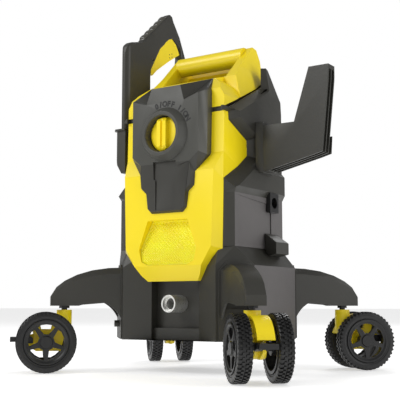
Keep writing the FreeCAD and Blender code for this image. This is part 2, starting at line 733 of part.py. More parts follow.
def control_panel_shape():
    solid = mask_shape()
    solid = solid.cut([cover_outer(), top_outer()])
    bay = box((-54, -mask + 3, 326), (54, -60, 398))
    solid = solid.cut(bay)
    keep = max(solid.Solids, key=lambda part: part.Volume)
    hole = rod(d.dial_bore.number / 2 + 0.1, (0, -150, d.dial_z.number), (0, -80, d.dial_z.number))
    channel = prism("Y", [(-21, 312), (20, 312), (20, 286), (16, 284), (16, 240), (-18, 240), (-18, 284),
                          (-21, 286)], -mask + 3.5, -mask - 3)
    return keep.cut([hole, channel])


solid_piece("control_panel", control_panel_shape())
dial = FreeCAD.Placement(V(0, 0, d.dial_z.number), FreeCAD.Rotation())
well = d.knob_diameter / 2 + 1.2
bezel_out = d.bezel_diameter / 2
rim = bezel_out - 8
lip = -d.bezel_front
floor_y = -d.mask_front + 5


def bezel():
    """Conical ring with a deep well whose floor carries the switch."""
    made = Piece("dial_bezel", dial)
    tube = d.dial_bore / 2
    shaft_hole = d.knob_shaft_diameter / 2 + d.running
    made.turn("YZ", [(floor_y + 3, shaft_hole), (floor_y + 3, tube), (-d.mask_front, tube),
                     (-d.mask_front, bezel_out), (lip, rim), (lip, well + 1.5), (lip + 1.5, well),
                     (floor_y, well), (floor_y, shaft_hole)], "H_Axis")


def knob():
    """Disc with an upright grip bar, and the shaft that turns the switch."""
    made = Piece("selector_knob", dial)
    r = d.knob_diameter / 2
    shaft = d.knob_shaft_diameter / 2
    made.turn("YZ", [(floor_y - 0.3, 0), (floor_y - 0.3, r), (floor_y - 4, r), (floor_y - 6, r - 3),
                     (floor_y - 6, 0)], "H_Axis")
    made.pad("XZ", [(-8, -22), (-3, -24.5), (3, -24.5), (8, -22), (8, 22), (3, 24.5), (-3, 24.5), (-8, 22)],
             floor_y - 5, lip + 3)
    made.cut("YZ", [(lip - 1, 14), (lip - 1, 26), (floor_y - 8, 26)], -9, 9)
    made.cut("YZ", [(lip - 1, -14), (lip - 1, -26), (floor_y - 8, -26)], -9, 9)
    made.cut("XZ", [(-2, -30), (2, -30), (2, 30), (-2, 30)], lip + 6, lip - 2)
    made.pad("XZ", (), floor_y - 1, floor_y + 12, [(0, 0, shaft)])


bezel()
knob()
switch = Piece("rotary_switch", dial)
switch.pad("XZ", [(-22, -24), (22, -24), (22, 24), (-22, 24)], floor_y + 3, floor_y + 17)
switch.cut("XZ", (), floor_y + 2, floor_y + 14, [(0, 0, d.knob_shaft_diameter / 2 + d.running)])

# ---------------------------------------------------------------- fittings

outlet = Piece("outlet_connector")
tip_y = recess_y - d.outlet_length.number
outlet.pad("XZ", (), tip_y, recess_y, [(0, d.outlet_z, d.outlet_diameter / 2)])
outlet.pad("XZ", (), recess_y - 1, recess_y + 12, [(0, d.outlet_z, d.outlet_diameter / 2 - OUTLET_STEP)])
outlet.cut("XZ", (), tip_y - 1, tip_y + 7, [(0, d.outlet_z, d.outlet_diameter / 2 - 2.6)])
outlet.cut("XZ", (), tip_y, recess_y + 13, [(0, d.outlet_z, d.outlet_bore / 2)])

inlet = Piece("inlet_connector")
inlet.pad("XZ", (), half_y, half_y + d.inlet_length.number, [(0, d.outlet_z, d.inlet_diameter / 2)])
inlet.pad("XZ", (), half_y - 14, half_y + 1, [(0, d.outlet_z, d.inlet_diameter / 2 - 4)])
inlet.cut("XZ", (), half_y - 15, half_y + d.inlet_length.number + 1, [(0, d.outlet_z, 6)])

gland_y = d.gland_y
gland = Piece("cord_gland")
gland.pad("YZ", [(gland_y + u * GLAND_HALF, d.gland_z + v * GLAND_RISE)
                 for u, v in ((-1, -1), (1, -1), (1, 1), (-1, 1))], tower_x, tower_x + 7)
gland.pad("YZ", (), tower_x - 9, tower_x + 1, [(gland_y, d.gland_z, d.gland_bore / 2 + 1.5)])
gland.cut("YZ", (), tower_x - 10, tower_x + 8, [(gland_y, d.gland_z, d.gland_bore / 2)])


def hook_shape():
    """Cable hook: a plate facing forwards with a rim and ribs behind it, open at its far side."""
    reach = d.hook_reach.number
    outline = [(tower_x + 1, 368), (reach - 57, 368), (reach - 32, 447), (reach, 447), (reach - 1, 425),
               (reach - 12, 320), (reach - 27, 316), (tower_x + 1, 295)]
    y, depth, t = d.hook_y.number, d.hook_depth.number, d.hook_wall.number
    solid = prism("Y", outline, y, y + depth)
    pocket = prism("Y", [(125, 361), (reach - 53, 361), (reach - 28, 441), (reach + 20, 441),
                         (reach + 20, 300), (reach - 27, 300), (125, 280)], y + t, y + depth + 1)
    shell = solid.cut(pocket)
    for step in (10, 20, 30):
        rib = prism("Y", outline, y + step, y + step + 2.4).cut(
            prism("X", [(y, 200), (y + 60, 200), (y + 60, 250), (y, 250)], 0, 300))
        shell = shell.fuse(rib)
    back = y + depth
    taper = prism("X", [(back, 300), (back + 30, 300), (back + 30, 460), (back - 14, 460)], 100, 260)
    plan = [(tower_x, y - 2), (tower_x + 12, y), (tower_x + 12, back), (tower_x, back + 4)]
    root = prism("Z", plan, 297, 374)
    return shell.cut(taper).fuse(root).cut(tower_outer()).removeSplitter()


solid_piece("cable_hook", max(hook_shape().Solids, key=lambda part: part.Volume))


def low_hook_shape():
    """The lower cable hook: a wedge with a sloping roof that stands out over the base."""
    out = tower_x + 24
    body = skinned([[(tower_x, 2, 172), (tower_x, 40, 172), (tower_x, 40, 208), (tower_x, 2, 208)],
                    [(out, -6, 176), (out, 34, 176), (out, 34, 193), (out, -6, 193)]])
    return body.cut([tower_outer(), base_outer()])


solid_piece("lower_cable_hook", low_hook_shape())

# ---------------------------------------------------------------- spray gun and holster

gun_x = d.gun_x
gun_half = d.gun_width / 2
front_y, back_y = d.gun_front, d.gun_back
gun_low, gun_high = gun_x - gun_half, gun_x + gun_half
GUN = [(front_y, d.gun_bottom), (front_y, 507), (front_y + 3, 519), (front_y + 13, 527.5),
       (front_y + 24, 530.5), (-28, 535), (50, 605), (57, 602), (61, 594), (80, 570), (99, 533), (97, 503),
       (76, 455), (56, 428), (30, 414), (back_y, 410), (back_y, d.gun_bottom)]
LOOP = [(back_y + 3, 440), (back_y + 3, 490), (22, 534), (47, 557), (58, 561), (81, 550), (84, 534),
        (80, 508), (62, 462), (40, 440)]
TRIGGER_SLOT = [(-7, 484), (-7, 508), (40, 570), (60, 574), (76, 562), (83, 546), (62, 530), (10, 484)]
TRIGGER = [(-4, 503), (3, 515), (23, 537), (47, 560), (57, 562), (69, 555), (80, 539), (49, 520), (14, 496),
           (1, 484), (-3, 487)]
TRIGGER_PIN = (2, 510)
GRIP_FOOT, GRIP_TIP = (-28, 535), (50, 605)
GRIP_RISE = math.atan2(GRIP_TIP[1] - GRIP_FOOT[1], GRIP_TIP[0] - GRIP_FOOT[0])
middle_y = (front_y + back_y) / 2
pin_radius = d.trigger_pin_diameter / 2


def on_grip(along, above):
    """A point measured along the grip's upper edge and square to it."""
    rise, run = math.sin(GRIP_RISE), math.cos(GRIP_RISE)
    return (GRIP_FOOT[0] + along * run - above * rise, GRIP_FOOT[1] + along * rise + above * run)


gun = Piece("gun_body")
gun.pad("YZ", GUN, gun_low, gun_high)
gun.cut("YZ", LOOP, gun_low - 1, gun_high + 1)
slot = d.trigger_width / 2 + d.loose
gun.cut("YZ", TRIGGER_SLOT, gun_x - slot, gun_x + slot)
for edge, inward in ((gun_low, 5), (gun_high, -5)):
    gun.cut("XY", [(edge + inward, front_y), (edge + inward, front_y - 1), (edge - inward, front_y - 1),
                   (edge - inward, front_y + 7), (edge, front_y + 7)], 340, 540)
gun.cut("XY", (), 330, 470, [(gun_x, middle_y, d.lance_diameter / 2 + d.running)])
gun.cut("YZ", (), gun_low - 1, gun_high + 1, [(*TRIGGER_PIN, pin_radius + d.running)])

trigger = Piece("gun_trigger")
trigger.pad("YZ", TRIGGER, gun_x - d.trigger_width / 2, gun_x + d.trigger_width / 2)
trigger.cut("YZ", (), gun_low, gun_high, [(*TRIGGER_PIN, pin_radius + d.running)])
pins = Piece("gun_pins")
pins.pad("YZ", (), gun_low + 0.5, gun_high - 0.5, [(*TRIGGER_PIN, pin_radius)])

pad = Piece("gun_grip_pad")
pad.pad("YZ", [on_grip(8, 0), on_grip(94, 0), on_grip(91, 2.4), on_grip(11, 2.4)], gun_low + 2, gun_high - 2)
for k in range(6):
    at = 15.5 + 14 * k
    pad.cut("YZ", [on_grip(at - 2, 2.6), on_grip(at + 2, 2.6), on_grip(at, 0.9)], gun_low, gun_high)

lance = Piece("gun_bayonet")
lance.pad("XY", (), 310, 468, [(gun_x, middle_y, d.lance_diameter / 2)])
lance.pad("XY", [(gun_x - 8, middle_y - 3), (gun_x + 8, middle_y - 3), (gun_x + 8, middle_y + 3),
                 (gun_x - 8, middle_y + 3)], 316, 322)
lance.cut("XY", (), 309, 460, [(gun_x, middle_y, 3)])


def holster_plan(grow):
    """The holster's plan from the casing round its outer side, with chamfered corners."""
    out_x, in_x = gun_low.number - 4 - grow, -tower_x
    front_edge, back_edge = front_y.number - 5 - grow, back_y.number + 5 + grow
    return [(in_x, front_edge), (out_x + 5, front_edge), (out_x, front_edge + 5), (out_x, back_edge - 5),
            (out_x + 5, back_edge), (in_x, back_edge)]


def holster_shape():
    """Open-topped pocket on the left side, with a lip and a hole for the bayonet below."""
    low, high = d.holster_bottom.number, d.holster_top.number
    out_x = gun_low.number - 4
    body = prism("Z", holster_plan(0), low, high).fuse(prism("Z", holster_plan(2.5), high - 3, high))
    foot = [(out_x - 5, low - 1), (out_x - 5, low + 30), (out_x + 14, low - 1)]
    body = body.cut(prism("Y", foot, -200, 200))
    clear = d.loose.number + 0.4
    body = body.cut(box((gun_low.number - clear, front_y.number - clear, d.gun_bottom.number),
                        (-tower_x, back_y.number + clear, high + 1)))
    body = body.cut(rod(d.lance_diameter.number / 2 + 3.5, (gun_x.number, middle_y.number, low - 1),
                        (gun_x.number, middle_y.number, high)))
    return body.cut([mirrored(tower_outer()), cover_outer()])


holster = holster_shape()
solid_piece("gun_holster", max(holster.Solids, key=lambda part: part.Volume))

# ---------------------------------------------------------------- motor and pump

motor_low = d.base_top
motor_high = motor_low + d.motor_height
can = Piece("motor_can")
can.pad("XY", (), motor_low, motor_high, [(0, 0, d.motor_diameter / 2)])
can.cut("XY", (), motor_low + 6, motor_high - 8, [(0, 0, d.rotor_diameter / 2 + 1)])
can.cut("XY", (), motor_low - 1, motor_high + 1, [(0, 0, d.shaft_diameter / 2 + d.running)])

rotor = Piece("motor_rotor")
rotor.pad("XY", (), 155, motor_high + 20, [(0, 0, d.shaft_diameter / 2)])
rotor.pad("XY", (), motor_low + 16, motor_high - 20, [(0, 0, d.rotor_diameter / 2)])
rotor.pad("XY", (), motor_high + 4, motor_high + 6, [(0, 0, d.fan_diameter / 2)])
blade = rotor.pad("XY", [(10, -1), (d.fan_diameter / 2 - 1, -1), (d.fan_diameter / 2 - 1, 1), (10, 1)],
                  motor_high + 5, motor_high + 18)
rotor.repeat(blade, "Z_Axis", 9)
rotor.pad("XY", (), 155, 163, [(0, 0, 27)])

pump = Piece("pump_head")
p = d.pump_half
pump.pad("XY", [(-p, -p), (p, -p), (p, p), (-p, p)], d.pump_bottom, d.pump_top)
pump.pad("XY", (), d.pump_top - 1, motor_low - wall - 1, [(0, 0, 37)])
pump.cut("XY", (), d.pump_top, motor_low + 1, [(0, 0, 32)])
bore = pump.cut("XY", (), d.pump_bottom + 14, d.pump_top + 1,
                [(d.piston_circle / 2, 0, d.piston_diameter / 2 + d.running)])
pump.repeat(bore, "Z_Axis", 3)
pump.cut("XZ", (), -p - 1, -p + 8, [(0, d.outlet_z, 8)])
pump.cut("XZ", (), p - 8, p + 1, [(0, d.outlet_z, 7)])

piston_x = d.piston_circle.number / 2
piston = rod(d.piston_diameter.number / 2, (piston_x, 0, 100), (piston_x, 0, 153.5))
pistons = [piston.rotated(V(0, 0, 0), V(0, 0, 1), turn) for turn in (0, 120, 240)]
solid_piece("pump_pistons", Part.makeCompound(pistons))


def pipe(radius, bore_radius, start, end):
    return rod(radius, start, end).cut(rod(bore_radius, start, end))


port_z = d.outlet_z.number
pump_y = d.pump_half.number
pipes = [pipe(7.9, 5, (0, -pump_y + 6, port_z), (0, recess_y + 12, port_z)),
         pipe(6.9, 4.5, (0, pump_y - 6, port_z), (0, half_y - 14, port_z))]
solid_piece("water_pipes", Part.makeCompound(pipes))

# ---------------------------------------------------------------- check and export

doc.recompute()
bad = [thing.Label for thing in doc.Objects if {"Invalid", "Error"} & set(thing.State)]
if bad:
    raise RuntimeError(f"features failed: {bad}")
for name, piece in pieces.items():
    shape = piece.Shape
    if shape.isNull() or not shape.isValid() or not shape.Solids:
        raise RuntimeError(f"{name} has no valid solid")
for name, piece in pieces.items():
    piece.Shape.exportStep(f"parts/{name}.step")
print(len(pieces), "pieces")
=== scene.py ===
"""Finished surfaces of an upright pressure washer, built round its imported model.

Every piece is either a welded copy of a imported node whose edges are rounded, or a new surface
worked out on a grid.  Metres; +X towards the cable hook, -Y towards the dial, +Z up.
"""

import json
import math

import bmesh
import bpy
import numpy as np
from bpy.props import FloatProperty, FloatVectorProperty, IntProperty, PointerProperty
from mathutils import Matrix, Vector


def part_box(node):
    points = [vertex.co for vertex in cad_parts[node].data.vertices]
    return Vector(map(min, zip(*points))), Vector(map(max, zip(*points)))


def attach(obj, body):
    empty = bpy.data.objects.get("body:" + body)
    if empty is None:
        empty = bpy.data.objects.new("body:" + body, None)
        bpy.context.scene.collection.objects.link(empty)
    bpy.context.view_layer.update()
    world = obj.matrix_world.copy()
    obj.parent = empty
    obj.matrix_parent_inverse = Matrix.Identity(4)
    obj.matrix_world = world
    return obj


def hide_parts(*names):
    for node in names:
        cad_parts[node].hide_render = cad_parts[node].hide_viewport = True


bl_info = {
    "name": "Pressure washer",
    "version": (1, 0, 0),
    "blender": (4, 5, 0),
    "location": "View3D > Sidebar > Washer",
    "description": "Finished surfaces of a pressure washer on twin-wheel casters",
    "category": "Add Mesh",
}

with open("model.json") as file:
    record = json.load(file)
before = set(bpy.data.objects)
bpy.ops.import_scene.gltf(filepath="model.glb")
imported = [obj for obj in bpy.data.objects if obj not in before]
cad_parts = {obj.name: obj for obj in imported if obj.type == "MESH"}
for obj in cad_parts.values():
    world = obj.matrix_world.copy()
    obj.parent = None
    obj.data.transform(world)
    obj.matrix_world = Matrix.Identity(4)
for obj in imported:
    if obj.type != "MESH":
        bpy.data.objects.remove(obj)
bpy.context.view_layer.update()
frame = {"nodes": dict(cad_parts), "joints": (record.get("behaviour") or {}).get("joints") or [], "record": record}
nodes = frame["nodes"]
BODY_OF = {node: body for body, names in frame["record"]["behaviour"]["bodies"].items() for node in names}
SLOT_OF = {part["node"]: part["material_slot"] for part in frame["record"]["subparts"]}
JOINTS = {joint["name"]: joint for joint in frame["joints"]}
CORNERS = ("front_left", "front_right", "rear_left", "rear_right")


# ---------------------------------------------------------------- sizes and colours a user would change

class WasherSizes(bpy.types.PropertyGroup):
    casing_edge: FloatProperty(name="Casing edge", description="Rounding of the dark casings' edges",
                               default=0.0011, unit="LENGTH")
    cover_edge: FloatProperty(name="Cover edge", description="Rounding of the yellow covers' edges",
                              default=0.0012, unit="LENGTH")
    leg_edge: FloatProperty(name="Leg edge", description="Rounding of the legs' edges",
                            default=0.0012, unit="LENGTH")
    gun_cell: FloatProperty(name="Gun cell", description="Size of the even mesh that the spray gun is smoothed on",
                            default=0.0011, unit="LENGTH")
    gun_passes: IntProperty(name="Gun passes", description="Smoothing passes that round the spray gun", default=36)
    small_edge: FloatProperty(name="Small edge", description="Rounding of the small fittings' edges",
                              default=0.0006, unit="LENGTH")
    lug_count: IntProperty(name="Lugs", description="Lugs round each of a tyre's two rows", default=44)
    lug_height: FloatProperty(name="Lug height", description="How far a lug stands above its groove",
                              default=0.0019, unit="LENGTH")
    lens_pitch: FloatProperty(name="Lens pitch", description="Spacing of the diamonds on the front lens",
                              default=0.0064, unit="LENGTH")
    mark_height: FloatProperty(name="Mark height", description="Size of the dial's figures",
                               default=0.0112, unit="LENGTH")


class WasherColours(bpy.types.PropertyGroup):
    yellow: FloatVectorProperty(name="Yellow", description="Covers, forks, knob and trigger",
                                subtype="COLOR", default=(0.98, 0.76, 0.006))
    dark: FloatVectorProperty(name="Dark casing", description="Shells, base, legs, hook and gun",
                              subtype="COLOR", default=(0.034, 0.033, 0.027))
    # Paler grey for the right-facing faces of the base and right shell: painted light from the side lamp, and on the
    # shell's recessed panel partly its own paler tone as well
    side: FloatVectorProperty(name="Side panel", description="Paler panels at the sides",
                              subtype="COLOR", default=(0.115, 0.108, 0.106))
    panel: FloatVectorProperty(name="Dial plate", description="Plate round the selector dial",
                               subtype="COLOR", default=(0.058, 0.058, 0.050))
    black: FloatVectorProperty(name="Black", description="Hubs, levers and seals",
                               subtype="COLOR", default=(0.008, 0.008, 0.008))
    tyre: FloatVectorProperty(name="Tyre", description="Tyre rubber",
                              subtype="COLOR", default=(0.006, 0.006, 0.006))
    lens: FloatVectorProperty(name="Lens", description="Patterned lens in the front cover",
                              subtype="COLOR", default=(0.95, 0.90, 0.003))
    steel: FloatVectorProperty(name="Bright metal", description="Outlet, stems, axles and pins",
                               subtype="COLOR", default=(0.82, 0.82, 0.79))
    mark: FloatVectorProperty(name="Marks", description="Figures round the dial",
                              subtype="COLOR", default=(0.012, 0.012, 0.011))


def sizes():
    return bpy.context.scene.washer_sizes


def colours():
    return bpy.context.scene.washer_colours


# ---------------------------------------------------------------- materials

class Nodes:
    """A material's node tree, written as calls that each add one node."""

    def __init__(self, name):
        self.material = bpy.data.materials.new(name)
        self.material.use_nodes = True
        self.tree = self.material.node_tree
        self.shader = self.tree.nodes["Principled BSDF"]
        self.place = self.add("ShaderNodeTexCoord").outputs["Object"]

    def add(self, kind, links=None, **values):
        node = self.tree.nodes.new(kind)
        for key, value in values.items():
            if hasattr(node, key):
                setattr(node, key, value)
            else:
                node.inputs[key.replace("_", " ").title()].default_value = value
        for socket, source in (links or {}).items():
            self.tree.links.new(source, node.inputs[socket])
        return node

    def noise(self, scale, detail=2.0, stretch=None):
        source = self.place
        if stretch:
            source = self.add("ShaderNodeMapping", {"Vector": source}, Scale=stretch).outputs[0]
        return self.add("ShaderNodeTexNoise", {"Vector": source}, Scale=scale, Detail=detail).outputs["Fac"]

    def spread(self, value, low, high, start=0.3, end=0.7):
        """A value between two others as the source goes from start to end."""
        node = self.add("ShaderNodeMapRange", {"Value": value})
        for socket, number in zip(("From Min", "From Max", "To Min", "To Max"), (start, end, low, high)):
            node.inputs[socket].default_value = number
        return node.outputs[0]

    def blend(self, amount, first, second):
        """One colour turning into another; each is a socket or three numbers."""
        node = self.tree.nodes.new("ShaderNodeMix")
        node.data_type = "RGBA"
        self.feed(node.inputs["Factor"], amount)
        self.feed(node.inputs[6], first)
        self.feed(node.inputs[7], second)
        return node.outputs[2]

    def feed(self, socket, value):
        if isinstance(value, bpy.types.NodeSocket):
            self.tree.links.new(value, socket)
        elif isinstance(value, (int, float)):
            socket.default_value = value
        else:
            socket.default_value = (*value, 1.0)

    def relief(self, height, distance, below=None):
        """Fine height on the surface, over any relief already there."""
        links = {"Height": height}
        if below:
            links["Normal"] = below
        return self.add("ShaderNodeBump", links, Distance=distance, Strength=1.0).outputs[0]

    def finish(self, colour, roughness, normal, **fixed):
        self.feed(self.shader.inputs["Base Color"], colour)
        self.feed(self.shader.inputs["Roughness"], roughness)
        self.tree.links.new(normal, self.shader.inputs["Normal"])
        for name, value in fixed.items():
            self.shader.inputs[name.replace("_", " ")].default_value = value
        return self.material


def scaled(colour, factor):
    return tuple(min(1.0, channel * factor) for channel in colour)


def moulded(name, colour, roughness, grain, depth, mottle=0.06, **fixed):
    """Moulded plastic: spark-eroded grain, slight mottling and smears that change its gloss."""
    n = Nodes(name)
    cloud = n.noise(9.0, 3.0)
    tint = n.blend(n.spread(cloud, 0.0, 1.0), scaled(colour, 1 - mottle), scaled(colour, 1 + mottle))
    gloss = n.spread(n.noise(34.0, 4.0), roughness - 0.05, roughness + 0.06)
    ripple = n.relief(n.noise(grain / 9, 2.0), depth * 1.6)
    return n.finish(tint, gloss, n.relief(n.noise(grain, 3.0), depth, ripple), **fixed)


def yellow_plastic():
    return moulded("yellow_plastic", colours().yellow, 0.36, 2600, 0.00003, 0.03, Coat_Weight=0.12,
                   Coat_Roughness=0.25)


def dark_casing():
    return moulded("dark_casing", colours().dark, 0.42, 2100, 0.00006)


def panel_plastic():
    return moulded("panel_plastic", colours().panel, 0.4, 2300, 0.00004)


def black_plastic():
    return moulded("black_plastic", colours().black, 0.36, 2200, 0.00004)


# Painted light: paler grey that stands for the side lamp's light on right-facing faces, and on the shell's recessed
# panel partly its own paler tone
def painted_side_light():
    return moulded("painted_side_light", colours().side, 0.46, 1900, 0.00006)


def tyre_rubber():
    """Rubber with a dusty bloom in patches and a fine pitted skin."""
    n = Nodes("tyre_rubber")
    base = colours().tyre
    bloom = n.spread(n.noise(60.0, 4.0), 0.0, 1.0, 0.42, 0.75)
    gloss = n.spread(n.noise(140.0, 3.0), 0.3, 0.5)
    pits = n.relief(n.noise(1500.0, 3.0), 0.00007)
    return n.finish(n.blend(bloom, base, scaled(base, 1.7)), gloss, pits)


def grip_rubber():
    return moulded("grip_rubber", scaled(colours().dark, 2.2), 0.16, 1800, 0.00002)


def lens_plastic():
    """Glossy lens, mottled at random between its colour and a warmer one."""
    n = Nodes("lens_plastic")
    base = colours().lens
    cloud = n.spread(n.noise(40.0, 3.0), 0.0, 1.0)
    warm = (base[0] * 0.95, base[1] * 0.86, base[2])
    smooth = n.relief(n.noise(700.0, 2.0), 0.00001)
    return n.finish(n.blend(cloud, base, warm), n.spread(n.noise(90.0), 0.3, 0.4), smooth, Coat_Weight=0.15,
                    Coat_Roughness=0.2)


def bright_steel():
    """Turned metal with fine rings and light stains."""
    n = Nodes("bright_steel")
    rings = n.noise(240.0, 2.0, stretch=(1.0, 12.0, 1.0))
    stain = n.spread(n.noise(50.0, 4.0), 0.0, 1.0)
    base = colours().steel
    return n.finish(n.blend(stain, scaled(base, 0.86), scaled(base, 1.08)), n.spread(rings, 0.24, 0.4),
                    n.relief(rings, 0.00002), Metallic=0.7)


def cast_metal():
    """Cast pump body and painted motor case: coarse skin and patchy gloss."""
    n = Nodes("cast_metal")
    skin = n.relief(n.noise(420.0, 4.0), 0.0002)
    tint = n.blend(n.spread(n.noise(26.0, 3.0), 0.0, 1.0), (0.20, 0.21, 0.22), (0.34, 0.34, 0.35))
    return n.finish(tint, n.spread(n.noise(80.0), 0.4, 0.62), skin, Metallic=0.7)


def mark_ink():
    return moulded("mark_ink", colours().mark, 0.5, 1500, 0.00002)


FINISHES = {
    "yellow_plastic": yellow_plastic, "dark_casing": dark_casing, "panel_plastic": panel_plastic,
    "black_plastic": black_plastic, "tyre_rubber": tyre_rubber, "soft_grip": grip_rubber,
    "lens_plastic": lens_plastic, "bright_steel": bright_steel, "dull_metal": cast_metal,
    "cast_metal": cast_metal, "painted_side_light": painted_side_light, "mark_ink": mark_ink,
}
made = {}


def finish_named(name):
    """A finish, made the first time it is wanted."""
    if name not in made:
        made[name] = FINISHES[name]()
    return made[name]


# ---------------------------------------------------------------- mesh work

def add_piece(name, mesh, body, slot, finish=None, crease=30):
    """Puts a mesh into the scene as a piece that rides on a body."""
    obj = bpy.data.objects.new(name, mesh)
    bpy.context.scene.collection.objects.link(obj)
    mesh.materials.clear()
    mesh.materials.append(finish_named(finish or slot))
    mesh.polygons.foreach_set("use_smooth", np.ones(len(mesh.polygons), bool))
    mesh.set_sharp_from_angle(angle=math.radians(crease))
    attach(obj, body)
    return obj


def welded(node, flat=0.4):
    """A copy of a node's mesh with its doubles merged and its flat regions made whole."""
    work = bmesh.new()
    work.from_mesh(nodes[node].data)
    bmesh.ops.remove_doubles(work, verts=work.verts, dist=2e-6)
    bmesh.ops.dissolve_degenerate(work, edges=work.edges, dist=1e-6)
    bmesh.ops.dissolve_limit(work, angle_limit=math.radians(flat), verts=work.verts, edges=work.edges)
    mesh = bpy.data.meshes.new(node)
    work.to_mesh(mesh)
    work.free()
    return mesh


def rounded(node, edge, segments=2, angle=28, finish=None, crease=30):
    """A node's own shape with every sharp edge rounded; it stands for the node."""
    obj = add_piece(f"{node}_finished", welded(node), BODY_OF[node], SLOT_OF[node], finish, crease)
    bevel = obj.modifiers.new("Edges", "BEVEL")
    bevel.width = edge
    bevel.segments = segments
    bevel.limit_method = "ANGLE"
    bevel.angle_limit = math.radians(angle)
    bevel.use_clamp_overlap = True
    bevel.harden_normals = True
    bevel.miter_outer = "MITER_ARC"
    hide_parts(node)
    return obj


def grid_faces(count_u, count_v, closed_u, closed_v):
    """Quads between neighbouring grid points, numbered row by row."""
    u = np.arange(count_u if closed_u else count_u - 1)
    v = np.arange(count_v if closed_v else count_v - 1)
    u, v = (axis.ravel() for axis in np.meshgrid(u, v, indexing="ij"))
    across, along = (u + 1) % count_u, (v + 1) % count_v
    return np.stack([u * count_v + v, across * count_v + v, across * count_v + along, u * count_v + along], 1)


def grid_mesh(name, points, closed_u=False, closed_v=False, flip=False):
    """A mesh from points[u, v] as whole arrays."""
    faces = grid_faces(points.shape[0], points.shape[1], closed_u, closed_v)
    if flip:
        faces = faces[:, ::-1]
    mesh = bpy.data.meshes.new(name)
    mesh.from_pydata(points.reshape(-1, 3).tolist(), [], faces.tolist())
    mesh.validate()
    return mesh


def keep(node, finish=None):
    """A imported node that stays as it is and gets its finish."""
    obj = nodes[node]
    obj.data.materials.clear()
    obj.data.materials.append(finish_named(finish or SLOT_OF[node]))


def softened(node, cell, passes):
    """A node's own shape on an even mesh, smoothed so that all its edges are round."""
    obj = add_piece(f"{node}_finished", welded(node), BODY_OF[node], SLOT_OF[node], crease=180)
    even = obj.modifiers.new("Even", "REMESH")
    even.mode = "VOXEL"
    even.voxel_size = cell
    even.use_smooth_shade = True
    soft = obj.modifiers.new("Soft", "SMOOTH")
    soft.factor = 0.5
    soft.iterations = passes
    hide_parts(node)
    return obj


def repaint(obj, finish, chosen):
    """Gives another finish to the faces that a test of their centres and normals picks."""
    mesh = obj.data
    count = len(mesh.polygons)
    centres, normals = np.empty(count * 3), np.empty(count * 3)
    mesh.polygons.foreach_get("center", centres)
    mesh.polygons.foreach_get("normal", normals)
    mesh.materials.append(finish_named(finish))
    picked = chosen(centres.reshape(-1, 3), normals.reshape(-1, 3))
    mesh.polygons.foreach_set("material_index", picked.astype(np.int32))


def bounds_of(node):
    low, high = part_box(node)
    return np.array(low), np.array(high)


def smooth_step(x):
    x = np.clip(x, 0.0, 1.0)
    return x * x * (3 - 2 * x)


# ---------------------------------------------------------------- wheels

def caster_axes(corner):
    """The outward and axle directions of a caster, and the middle of its axle."""
    joint = JOINTS[f"{corner}_wheel_a_spin"]
    axle = np.array(joint["axis"], float)
    axle /= np.linalg.norm(axle)
    outward = np.array([axle[1], -axle[0], 0.0])
    return outward, axle, np.array(joint["pos_m"], float)


def wheel_middle(corner, letter):
    """A wheel's centre: its tyre's middle, measured along the axle."""
    low, high = bounds_of(f"{corner}_tyre_{letter}")
    return (low + high) / 2


def tyre_surface(corner, letter):
    """Tyre with two staggered rows of lugs and a stepped sidewall.

    Goes round the axle (u) and across the section from bead to bead (v).  The radius is the
    section's own, plus the lug height where a row's wave round the tyre and its band across the
    section are both up; the second row's wave is half a pitch behind.
    """
    s = sizes()
    outward, axle, _ = caster_axes(corner)
    middle = wheel_middle(corner, letter)
    low, high = bounds_of(f"{corner}_tyre_{letter}")
    radius = (high[2] - low[2]) / 2
    seat, half = radius * 0.733, tyre_half_width(corner, letter)
    lift = s.lug_height
    base = radius - lift
    # the section from bead to tread: (share of the half width, radius)
    side = np.array([(0.80, seat), (0.90, seat + 0.0004), (0.94, seat + 0.0012), (0.94, seat + 0.0026),
                     (0.985, seat + 0.0033), (1.0, seat + 0.0042), (1.0, radius - 0.0062), (0.985, radius - 0.0052),
                     (0.985, radius - 0.0042), (0.955, radius - 0.0030), (0.92, base - 0.0006), (0.86, base - 0.0001),
                     (0.80, base), (0.48, base), (0.44, base), (0.12, base), (0.07, base)])
    section = np.vstack([side * (-1, 1), side[::-1]])
    pitch = 2 * math.pi / s.lug_count
    phases = np.array([0.0, 0.03, 0.06, 0.28, 0.5, 0.53, 0.56, 0.78])
    turns = (np.arange(s.lug_count)[:, None] + phases[None, :]).ravel() * pitch
    wave = np.tile(np.array([0.0, 0.0, 1.0, 1.0, 1.0, 1.0, 0.0, 0.0]), s.lug_count)
    late = np.roll(wave, 4)
    share = section[:, 0]
    band = np.where((np.abs(share) > 0.1) & (np.abs(share) < 0.97) & (section[:, 1] > radius - 0.0055), 1.0, 0.0)
    inner = np.where(np.abs(share) < 0.46, 1.0, 0.0)
    # each side's outer and inner blocks are staggered against each other
    first = np.where((share > 0) ^ (inner > 0.5), 1.0, 0.0)
    up = wave[:, None] * first[None, :] + late[:, None] * (1 - first[None, :])
    reach = section[None, :, 1] + lift * up * band[None, :]
    reach = np.minimum(reach, radius)
    across = np.broadcast_to(share * half, reach.shape)
    angle = turns[:, None]
    ring = (np.cos(angle) * reach)[..., None] * outward + (np.sin(angle) * reach)[..., None] * np.array([0, 0, 1.0])
    points = middle + ring + across[..., None] * axle
    return grid_mesh(f"{corner}_tyre_{letter}", points, closed_u=True, closed_v=True)


def tyre_half_width(corner, letter):
    """Half a tyre's width, from its box and radius, because its axle lies slantwise in the box."""
    low, high = bounds_of(f"{corner}_tyre_{letter}")
    _, axle, _ = caster_axes(corner)
    diameter = high[2] - low[2]
    width = ((high[0] - low[0]) - diameter * abs(axle[1])) / abs(axle[0])
    return width / 2


